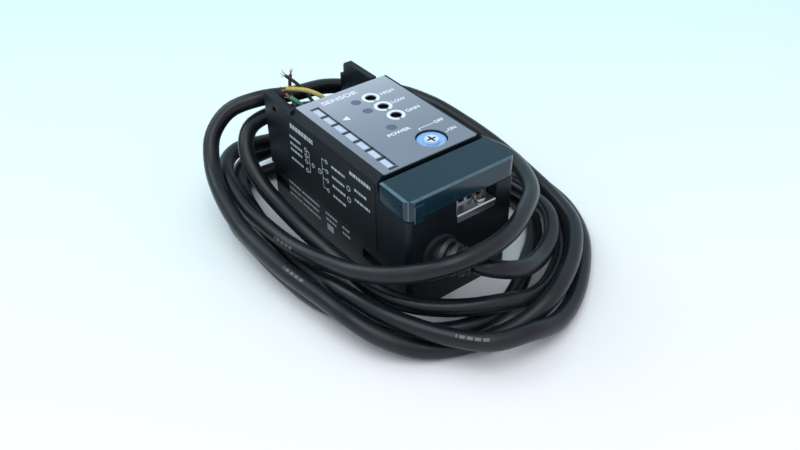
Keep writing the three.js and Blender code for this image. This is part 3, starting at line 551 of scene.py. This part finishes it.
def print_bar(x0, x1, y0, y1):
    """A flat rectangle of ink in the plane of the print, drawn from its low to its high corner."""
    mesh = bpy.data.meshes.new("bar")
    corners = [(x0, y0), (x1, y0), (x1, y1), (x0, y1)]
    low = [(x, y, 0) for x, y in corners]
    high = [(x, y, INK) for x, y in corners]
    mesh.from_pydata(low + high, [], BOX_FACES)
    return mesh


def print_ring(x, y, outer, inner, sides=36, gap=0.0, start=0.0):
    """A flat ring of ink, open by the given angle."""
    bm = bmesh.new()
    whole = gap == 0
    spots = []
    for i in range(sides if whole else sides + 1):
        turn = start + gap / 2 + (2 * math.pi - gap) * i / sides
        c, s = math.cos(turn), math.sin(turn)
        spots.append(
            [
                bm.verts.new((x + outer * c, y + outer * s, 0)),
                bm.verts.new((x + outer * c, y + outer * s, INK)),
                bm.verts.new((x + inner * c, y + inner * s, INK)),
                bm.verts.new((x + inner * c, y + inner * s, 0)),
            ]
        )
    last = len(spots) if whole else len(spots) - 1
    for i in range(last):
        here, there = spots[i], spots[(i + 1) % len(spots)]
        for k in range(4):
            n = (k + 1) % 4
            bm.faces.new((here[k], there[k], there[n], here[n]))
    if not whole:
        bm.faces.new(spots[0])
        bm.faces.new(spots[-1][::-1])
    bmesh.ops.recalc_face_normals(bm, faces=bm.faces)
    mesh = bpy.data.meshes.new("ring")
    bm.to_mesh(mesh)
    bm.free()
    return mesh


def print_word(text, height, middle, stretch):
    """A word of ink, centred on the given point of the print."""
    curve = bpy.data.curves.new("word", "FONT")
    curve.body = text
    curve.size = height / CAPITAL_SHARE
    curve.align_x = "CENTER"
    curve.align_y = "CENTER"
    curve.extrude = INK / 2
    curve.offset = 0.00006
    held = bpy.data.objects.new("word", curve)
    bpy.context.collection.objects.link(held)
    mesh = baked(held)
    bpy.data.objects.remove(held)
    place = Matrix.Translation((*middle, INK / 2))
    mesh.transform(place @ Matrix.Diagonal((stretch, 1, 1, 1)))
    return mesh


panel_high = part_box("top_panel")[1]
show_softened("top_panel", "panel_film_sheet", 0.00008, 1, film_finish(), "panel_grey")


def middle_of(node):
    low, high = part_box(node)
    return (low + high) / 2


def place_print(name, meshes, lift, material, slot, turn=None):
    mesh = join_meshes(name, meshes)
    mesh.transform(Matrix.Translation(lift) @ (turn or Matrix.Identity(4)))
    return show(name, mesh, [material], "case", slot)


def on_panel(rearward):
    return panel_high.y - rearward


white_ink = ink_finish("white_ink", (0.80, 0.86, 0.92))
panel_words = [
    print_word("HIGH", 0.0015, (0.0116, on_panel(0.0098)), 1.05),
    print_word("LOW", 0.0015, (0.0112, on_panel(0.0165)), 1.05),
    print_word("GAIN", 0.0015, (0.0116, on_panel(0.0236)), 1.05),
    print_word("POWER", 0.0014, (-0.0004, on_panel(0.0322)), 1.2),
    print_word("OFF", 0.0014, (0.0134, on_panel(0.0344)), 1.05),
    print_word("ON", 0.0013, (0.0137, on_panel(0.0404)), 1.05),
    print_word("SENSOR", 0.0021, (-0.0031, on_panel(0.0038)), 1.25),
    print_bar(0.0052, 0.0112, on_panel(0.03455), on_panel(0.03425)),
    print_bar(0.0052, 0.0055, on_panel(0.0356), on_panel(0.0344)),
    print_bar(0.0108, 0.0120, on_panel(0.0410), on_panel(0.0407)),
]
panel_tick = bpy.data.meshes.new("tick")
tick = [(-0.0077, on_panel(0.0172)), (-0.0077, on_panel(0.0146)), (-0.0101, on_panel(0.0159))]
panel_tick.from_pydata(
    [(x, y, z) for z in (0, INK) for x, y in tick],
    [],
    [(0, 2, 1), (3, 4, 5), (0, 1, 4, 3), (1, 2, 5, 4), (2, 0, 3, 5)],
)
trimmer_spots = [middle_of(f"trimmer_rotor_{name}") for name in ("high", "low", "gain")]
trimmer_rings = [
    print_ring(s.x, s.y, 0.0030, 0.00195, 40, 0.4, math.radians(-90)) for s in trimmer_spots
]
place_print(
    "panel_legend",
    [*panel_words, panel_tick, *trimmer_rings],
    (0, 0, panel_high.z),
    white_ink,
    "light_guide",
)
frame_bars = [print_bar(-0.0122, -0.0116, on_panel(0.0457), on_panel(0.0044))]
window_count = 7
window_length = 0.0044
guide_low, guide_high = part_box("bar_light_guide")
bar_pitch = (guide_high.y - guide_low.y - window_length) / (window_count - 1)
for i in range(window_count + 1):
    edge = guide_high.y + 0.0007 - i * bar_pitch
    frame_bars.append(print_bar(-0.0148, -0.0116, edge - 0.00045, edge + 0.00035))
black_ink = ink_finish("black_ink", (0.012, 0.018, 0.026))
place_print("bar_frame_print", frame_bars, (0, 0, panel_high.z + 0.00001), black_ink, "label_dark")


# Side label: a dark varnished film on the flat of the case, with a white wiring legend.
# The legend is a pattern of plain lines and rings; nothing on it can be read.
label_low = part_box("side_label")[0]
label_film = moulded_finish("label_film", (0.0065, 0.0100, 0.0115), 0.44, 0.00001, 0.18)
show_softened("side_label", "side_label_film", 0.00004, 1, label_film, "label_dark")
grey_ink = ink_finish("pale_ink", (0.42, 0.50, 0.55))
side_print = []
chance = random.Random(5)


def side_line(y0, y1, z, thick=0.0009):
    """A broken line of print along the side, from the rear edge y0 to the front edge y1."""
    place = y0
    while place > y1 + 0.0004:
        stop = max(y1, place - chance.uniform(0.0006, 0.0016))
        side_print.append(print_bar(-place, -stop, z - thick / 2, z + thick / 2))
        place = stop - 0.00035


for y0, y1, z, thick in (
    (0.0223, 0.0087, 0.0376, 0.0017),
    (-0.0116, -0.0222, 0.0375, 0.0012),
    (0.0232, 0.0159, 0.0333, 0.0009),
    (0.0232, 0.0159, 0.0307, 0.0009),
    (0.0232, 0.0159, 0.0284, 0.0009),
    (0.0232, 0.0159, 0.0248, 0.0009),
    (-0.0016, -0.0088, 0.0342, 0.0009),
    (-0.0016, -0.0088, 0.0305, 0.0009),
    (-0.0016, -0.0088, 0.0272, 0.0009),
    (-0.0016, -0.0088, 0.0233, 0.0009),
    (-0.0138, -0.0216, 0.0289, 0.0009),
    (-0.0138, -0.0200, 0.0325, 0.0009),
):
    side_line(y0, y1, z, thick)
for y, z in ((0.0135, 0.0326), (0.0135, 0.0304), (0.0135, 0.0282), (0.0135, 0.0248), (0.0095, 0.0287)):
    side_print.append(print_ring(-y, z, 0.00085, 0.00055, 20))
for y, z in ((0.0056, 0.0287), (-0.0106, 0.0311), (-0.0106, 0.0269)):
    side_print.append(print_ring(-y, z, 0.0010, 0.0007, 20))
for y, z in ((0.0013, 0.0344), (0.0013, 0.0308), (0.0013, 0.0273), (0.0013, 0.0236)):
    side_print.append(print_ring(-y, z, 0.00075, 0.00045, 20))
    side_print.append(print_bar(-y - 0.0026, -y - 0.0009, z - 0.0001, z + 0.0001))
for y, z0, z1 in ((0.0115, 0.0248, 0.0326), (0.0039, 0.0236, 0.0344)):
    side_print.append(print_bar(-y - 0.0001, -y + 0.0001, z0, z1))
for z in (0.0326, 0.0304, 0.0282, 0.0248):
    side_print.append(print_bar(-0.0126, -0.0115, z - 0.0001, z + 0.0001))
outward = Matrix(((0, 0, -1, 0), (-1, 0, 0, 0), (0, 1, 0, 0), (0, 0, 0, 1)))
place_print(
    "side_legend", side_print, (label_low.x - 0.00001, 0, 0), grey_ink, "light_guide", outward
)
side_print = []
for y0, y1, z in (
    (0.0284, 0.0206, 0.0123),
    (0.0284, 0.0206, 0.0098),
    (0.0284, 0.0206, 0.0073),
    (0.0198, 0.0092, 0.0123),
    (0.0198, 0.0092, 0.0098),
    (0.0198, 0.0092, 0.0073),
    (0.0053, -0.0013, 0.0123),
    (0.0053, -0.0013, 0.0100),
    (-0.0044, -0.0086, 0.0123),
    (-0.0044, -0.0086, 0.0100),
):
    side_line(y0, y1, z, 0.0008)
side_print.append(print_bar(-0.0049, -0.0012, 0.0057, 0.0082))
tray_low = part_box("base_case")[0]
place_print("tray_legend", side_print, (tray_low.x - 0.00001, 0, 0), grey_ink, "light_guide", outward)


# Bar display and lamps: a frosted clear guide under the panel windows, lit by a row of diodes.
# The three round lenses are tinted, so they look violet grey while the lamps are out.
def lens_finish(name, first, second, roughness=0.25):
    finish = Finish(name, first, roughness, Coat_Weight=0.5, Coat_Roughness=0.1)
    core = finish.noise(900.0, 2.0)
    return finish.wear(
        Base_Color=finish.blend(core, first, second), Roughness=roughness + 0.15 * core
    )


frosted_guide = lens_finish("frosted_guide", (0.42, 0.52, 0.66), (0.58, 0.68, 0.82), 0.35)
show_softened("bar_light_guide", "bar_guide_moulding", 0.00012, 2, frosted_guide, "light_guide")
violet_lens = lens_finish("violet_lens", (0.070, 0.092, 0.150), (0.10, 0.13, 0.20))
lamp_resin = lens_finish("lamp_resin", (0.70, 0.66, 0.52), (0.80, 0.78, 0.66), 0.3)
repaint("bar_led_array", lamp_resin)
for name in ("high", "low", "power"):
    show_softened(f"indicator_lens_{name}", f"indicator_window_{name}", 0.00012, 2, violet_lens, "lens")
    repaint(f"indicator_led_{name}", lamp_resin)


# Trimmers: three single-turn pots on the upper board, turned with a fine screwdriver.
# The rotors sit deep in their holes, dark grey with a cross slot.
rotor_resin = moulded_finish("rotor_resin", (0.020, 0.023, 0.027), 0.40)
blue_resin = moulded_finish("trimmer_resin", (0.03, 0.08, 0.27), 0.42)
for name in ("high", "low", "gain"):
    rotor, shown = f"trimmer_rotor_{name}", f"trimmer_slot_{name}"
    show_softened(rotor, shown, 0.00008, 2, rotor_resin, "rotor_grey", f"{name}_rotor")
    repaint(f"trimmer_body_{name}", blue_resin)


# Power switch: a dished blue dial, metallised satin, with a cross slot in its hub.
# It is turned a quarter with a screwdriver, from the off mark to the on mark.
dial_middle = middle_of("power_switch_dial")
dial_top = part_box("power_switch_dial")[1].z


def dial_finish():
    finish = Finish(
        "dial_satin", (0.30, 0.52, 0.80), 0.28, Metallic=0.25, Coat_Weight=0.4, Coat_Roughness=0.08
    )
    across, rearward, height = finish.split(finish.place())
    aside = across - dial_middle.x
    back = rearward - dial_middle.y
    radius = (aside * aside + back * back) ** 0.5
    turned = finish.noise(1400.0, 2.0)
    # Painted light: the hub is painted near white as a highlight, the dish is painted darker out at its
    # rim as shade, and the faces deep in the cross slot are painted near black as the shade inside it.
    hub = radius < 0.00225
    in_slot = (radius < 0.00195) * (height < dial_top - 0.00025)
    rim = (radius > 0.0041) * 0.45
    dish = finish.blend(rim, (0.30, 0.54, 0.86), (0.12, 0.26, 0.50))
    hub_highlight_tone = finish.blend(hub, dish, (0.66, 0.80, 0.92))
    return finish.wear(
        Base_Color=finish.blend(in_slot, hub_highlight_tone, (0.012, 0.014, 0.012)),
        Roughness=0.2 + 0.15 * turned,
        Normal=finish.bump(turned, 0.00001, 0.5),
    )


show_softened(
    "power_switch_dial", "power_dial_moulding", 0.00015, 2, dial_finish(), "dial_blue", "power_dial"
)
repaint("power_switch_body", blue_resin)


# Boards inside: two glass-fibre laminates with a green mask, joined by a pin header.
# They carry the chip, the capacitor and the output transistor.
def laminate_finish():
    finish = Finish("green_laminate", (0.02, 0.11, 0.05), 0.35, Coat_Weight=0.4)
    weave = finish.node(
        "ShaderNodeTexChecker",
        {},
        {"Vector": finish.place(), "Scale": 2400.0},
        output=1,
    )
    copper = finish.noise(160.0, 4.0)
    return finish.wear(
        Base_Color=finish.blend(copper > 0.52, (0.016, 0.095, 0.045), (0.03, 0.16, 0.07)),
        Roughness=0.3 + 0.1 * weave,
        Normal=finish.bump(weave, 0.00001, 0.4),
    )


board_mask = laminate_finish()
component_resin = moulded_finish("component_resin", (0.014, 0.015, 0.017), 0.48)
sleeve_resin = moulded_finish("capacitor_sleeve", (0.03, 0.07, 0.22), 0.30)
for node, material in (
    ("display_board", board_mask),
    ("main_board", board_mask),
    ("board_connector", component_resin),
    ("control_chip", component_resin),
    ("output_transistor", component_resin),
    ("filter_capacitor", sleeve_resin),
):
    repaint(node, material)


# Terminals: black blocks with ribs between the ways, nickelled clamps and plated steel screws.
# The pan heads take either driver and bring each clamp down on its wire.
def metal_finish(name, colour, roughness):
    finish = Finish(name, colour, roughness, Metallic=1.0)
    brushed = finish.noise(3200.0, 4.0)
    tarnish = finish.noise(220.0, 4.0)
    dull = tuple(c * 0.55 for c in colour)
    return finish.wear(
        Base_Color=finish.blend(tarnish ** 2, colour, dull),
        Roughness=(roughness - 0.06) + 0.25 * tarnish,
        Normal=finish.bump(brushed, 0.00001, 0.4),
    )


plated_steel = metal_finish("plated_steel", (0.62, 0.62, 0.58), 0.30)
nickel_strip = metal_finish("nickel_strip", (0.60, 0.66, 0.70), 0.28)
terminal_resin = moulded_finish("terminal_resin", (0.010, 0.012, 0.014), 0.45)
for node in ("front_terminal_block", "rear_terminal_block"):
    show_softened(node, f"{node}_moulding", 0.00015, 2, terminal_resin, "terminal_black")
for i in (1, 2, 3, 4):
    clamp, plate = f"rear_terminal_clamp_{i}", f"rear_clamp_plate_{i}"
    show_softened(clamp, plate, 0.00012, 2, nickel_strip, "plate_nickel")


def screw_mesh(name, head, height, shank, length, slot_half):
    """A pan head screw with a cross slot, its seat at nought and its shank below."""
    bm = bmesh.new()
    profile = [
        (0.0, -length),
        (shank * 0.7, -length),
        (shank, -length + 0.0005),
        (shank, 0.0),
        (head * 0.96, 0.0),
        (head, 0.00015),
        (head, height * 0.45),
        (head * 0.93, height * 0.75),
        (head * 0.75, height * 0.94),
        (0.0, height),
    ]
    rings = []
    sides = 32
    for r, z in profile:
        if r == 0:
            rings.append([bm.verts.new((0, 0, z))])
            continue
        turns = [2 * math.pi * k / sides for k in range(sides)]
        rings.append([bm.verts.new((r * math.cos(a), r * math.sin(a), z)) for a in turns])
    for low, high in zip(rings, rings[1:]):
        for k in range(sides):
            n = (k + 1) % sides
            if len(low) == 1:
                bm.faces.new((low[0], high[n], high[k]))
            elif len(high) == 1:
                bm.faces.new((low[k], low[n], high[0]))
            else:
                bm.faces.new((low[k], low[n], high[n], high[k]))
    bmesh.ops.recalc_face_normals(bm, faces=bm.faces)
    body = bpy.data.meshes.new(name)
    bm.to_mesh(body)
    bm.free()
    held = bpy.data.objects.new(name, body)
    bpy.context.collection.objects.link(held)
    cutters = []
    blade_half = 0.00036
    for wide, deep in ((slot_half, blade_half), (blade_half, slot_half)):
        low, high = height - 0.0008, height + 0.001
        cutter = bpy.data.meshes.new("driver_blade")
        outline = ((-wide, -deep), (wide, -deep), (wide, deep), (-wide, deep))
        cutter.from_pydata([(x, y, z) for z in (low, high) for x, y in outline], [], BOX_FACES)
        blade = bpy.data.objects.new("driver_blade", cutter)
        bpy.context.collection.objects.link(blade)
        cut = held.modifiers.new("slot", "BOOLEAN")
        cut.operation = "DIFFERENCE"
        cut.solver = "EXACT"
        cut.object = blade
        cutters.append(blade)
    done = baked(held)
    for spent in (held, *cutters):
        bpy.data.objects.remove(spent)
    for face in done.polygons:
        face.use_smooth = True
    done.set_sharp_from_angle(angle=math.radians(30))
    return done


def repeated(name, shape, spots, turns, material):
    """Copies of one shape on the given spots, each turned about its own axis, as one plain mesh."""
    template = bpy.data.objects.new(f"{name}_shape", shape)
    bpy.context.collection.objects.link(template)
    places = bpy.data.meshes.new(f"{name}_places")
    places.from_pydata([tuple(spot) for spot in spots], [], [])
    turned = places.attributes.new("turn", "FLOAT", "POINT")
    turned.data.foreach_set("value", turns)
    holder = bpy.data.objects.new(name, places)
    bpy.context.collection.objects.link(holder)
    tree = bpy.data.node_groups.new(f"{name}_layout", "GeometryNodeTree")
    tree.interface.new_socket("Places", in_out="INPUT", socket_type="NodeSocketGeometry")
    shape_in = tree.interface.new_socket("Shape", in_out="INPUT", socket_type="NodeSocketObject")
    size_in = tree.interface.new_socket("Size", in_out="INPUT", socket_type="NodeSocketFloat")
    tree.interface.new_socket("Pieces", in_out="OUTPUT", socket_type="NodeSocketGeometry")
    given = tree.nodes.new("NodeGroupInput")
    made = tree.nodes.new("NodeGroupOutput")
    source = tree.nodes.new("GeometryNodeObjectInfo")
    attribute = tree.nodes.new("GeometryNodeInputNamedAttribute")
    attribute.inputs["Name"].default_value = "turn"
    angles = tree.nodes.new("ShaderNodeCombineXYZ")
    onto = tree.nodes.new("GeometryNodeInstanceOnPoints")
    whole = tree.nodes.new("GeometryNodeRealizeInstances")
    paint = tree.nodes.new("GeometryNodeSetMaterial")
    paint.inputs["Material"].default_value = material
    link = tree.links.new
    link(given.outputs["Places"], onto.inputs["Points"])
    link(given.outputs["Shape"], source.inputs["Object"])
    link(source.outputs["Geometry"], onto.inputs["Instance"])
    link(attribute.outputs["Attribute"], angles.inputs["Z"])
    link(angles.outputs["Vector"], onto.inputs["Rotation"])
    link(given.outputs["Size"], onto.inputs["Scale"])
    link(onto.outputs["Instances"], whole.inputs["Geometry"])
    link(whole.outputs["Geometry"], paint.inputs["Geometry"])
    link(paint.outputs["Geometry"], made.inputs["Pieces"])
    layout = holder.modifiers.new("layout", "NODES")
    layout.node_group = tree
    layout[shape_in.identifier] = template
    layout[size_in.identifier] = 1.0
    done = baked(holder)
    done.name = name
    done.materials.clear()
    bpy.data.objects.remove(holder)
    bpy.data.objects.remove(template)
    return done


def screw_set(name, nodes, seat_rise, turns, head, height, shank, length, slot_half, flip=False):
    """Replaces a row of CAD screws with turned and slotted ones, on the same seats."""
    spots = []
    for node in nodes:
        low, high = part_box(node)
        middle = middle_of(node)
        spots.append((middle.x, middle.y, low.z + seat_rise if flip else high.z - seat_rise))
    shape = screw_mesh(f"{name}_shape", head, height, shank, length, slot_half)
    if flip:
        shape.transform(Matrix.Rotation(math.pi, 4, "X"))
    mesh = repeated(name, shape, spots, turns, plated_steel)
    return show(name, mesh, [plated_steel], "case", "screw_steel", nodes)


screw_set(
    "rear_screws", [f"rear_terminal_screw_{i}" for i in (1, 2, 3, 4)], 0.0018,
    [0.3, 0.9, 0.5, 1.2], 0.0025, 0.0018, 0.0014, 0.006, 0.0019,
)
screw_set(
    "front_screws", [f"front_terminal_screw_{i}" for i in (1, 2, 3, 4)], 0.0018,
    [0.7, 0.2, 1.1, 0.4], 0.0025, 0.0018, 0.0014, 0.0032, 0.0019,
)
screw_set(
    "case_screws", [f"case_screw_{i}" for i in (1, 2, 3, 4)], 0.0013,
    [0.2, 1.0, 0.6, 1.3], 0.0022, 0.0013, 0.0011, 0.0175, 0.0014, True,
)


# Shield plate: a bent strip of nickel-plated steel in the front notch, held by one screw.
# Its bright lip carries the case earth; the slots let the wires through.
show_softened("shield_plate", "shield_strip", 0.00016, 2, nickel_strip, "plate_nickel")
screw_set(
    "shield_screw", ["shield_plate_screw"], 0.0009,
    [0.4], 0.0017, 0.0009, 0.0007, 0.0016, 0.0012,
)


# Boot: a ribbed sleeve of soft black rubber, moulded round the cable and clipped in the wall.
# Its ribs grow smaller towards the cable, so that it bends evenly.
boot_rubber = moulded_finish("boot_rubber", (0.014, 0.018, 0.021), 0.42, 0.00004, 0.6)
show_softened("cable_boot", "ribbed_boot", 0.00025, 3, boot_rubber, "boot_rubber")


# Rear wires: thin stranded leads from the sensing heads, PVC covered, under the rear clamps.
# Their loose ends stand up out of the bay, stripped, with the copper strands fanned out.
def copper_finish():
    finish = Finish("copper_strand", (0.62, 0.30, 0.14), 0.32, Metallic=1.0)
    age = finish.noise(2500.0, 3.0)
    return finish.wear(
        Base_Color=finish.blend(age, (0.66, 0.34, 0.17), (0.36, 0.20, 0.12)),
        Roughness=0.24 + 0.25 * age,
    )


copper = copper_finish()
screw_y = middle_of("rear_terminal_screw_1").y
way_xs = [middle_of(f"rear_terminal_clamp_{i}").x for i in (1, 2, 3, 4)]
wire_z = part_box("rear_wire_grey")[0].z + 0.0007
beside = 0.0023
strand_fan = random.Random(11)
for name, x, radius, colour, rise in (
    ("black_1", way_xs[1] - beside, 0.0006, (0.012, 0.014, 0.016),
     [(-7.6, 3.4, -5.6), (-8.4, 7.2, -1.8), (-11.0, 8.6, 2.4), (-14.9, 9.6, 6.7)]),
    ("black_2", way_xs[0] - beside, 0.0006, (0.013, 0.015, 0.017),
     [(-15.0, 3.4, -5.6), (-13.8, 8.0, -2.0), (-12.7, 11.0, 1.8), (-11.9, 11.2, 5.6)]),
    ("yellow", way_xs[1] + beside, 0.0008, (0.42, 0.37, 0.09),
     [(-4.0, 2.3, -6.5), (-5.6, 1.9, -1.6), (-9.3, 5.4, 0.9), (-15.0, 10.1, 1.7)]),
    ("green", way_xs[0] + beside, 0.0008, (0.03, 0.17, 0.10),
     [(-11.6, 2.5, -6.5), (-12.8, 2.4, -3.0), (-14.2, 3.2, -1.0), (-16.1, 5.8, 0.8)]),
    ("grey", way_xs[3] - beside, 0.0007, (0.26, 0.29, 0.32),
     [(6.4, 2.1, -7.4), (6.6, 3.6, -6.0), (7.0, 6.2, -5.2)]),
):
    node = f"rear_wire_{name}"
    route = [
        Vector((x, screw_y + 0.0019, wire_z)),
        Vector((x, screw_y - 0.0026, wire_z)),
        Vector((x, screw_y - 0.0042, wire_z + 0.0016)),
        *(Vector((a / 1000, panel_high.y + b / 1000, panel_high.z + c / 1000)) for a, b, c in rise),
    ]
    sleeve_run = smooth_run(route, 0.0006)
    sleeve_run[-1] = sleeve_run[-1] - (sleeve_run[-1] - sleeve_run[-2]).normalized() * 0.0003
    sleeve = tube_mesh(f"{node}_sleeve", sleeve_run, radius * 0.95, 16, 0.00008)
    coat = insulation_finish(f"insulation_{name}", colour)
    show(f"{node}_sleeve", sleeve, [coat], "case", f"wire_{name.split('_')[0]}", [node])
    tip = sleeve_run[-1]
    ahead = (sleeve_run[-1] - sleeve_run[-4]).normalized()
    strands = []
    for k in range(7):
        spread = Vector([strand_fan.uniform(-1, 1) for _ in range(3)])
        spread -= ahead * spread.dot(ahead)
        root = tip - ahead * 0.0004 + spread * radius * 0.45
        reach = strand_fan.uniform(0.0016, 0.0026)
        bend = root + ahead * reach * 0.5 + spread * 0.0002
        end = root + ahead * reach + spread * 0.0007
        strands.append(tube_mesh("strand", [root, bend, end], 0.00009, 6))
    show(f"{node}_strands", join_meshes(f"{node}_strands", strands), [copper], "case", "screw_steel")
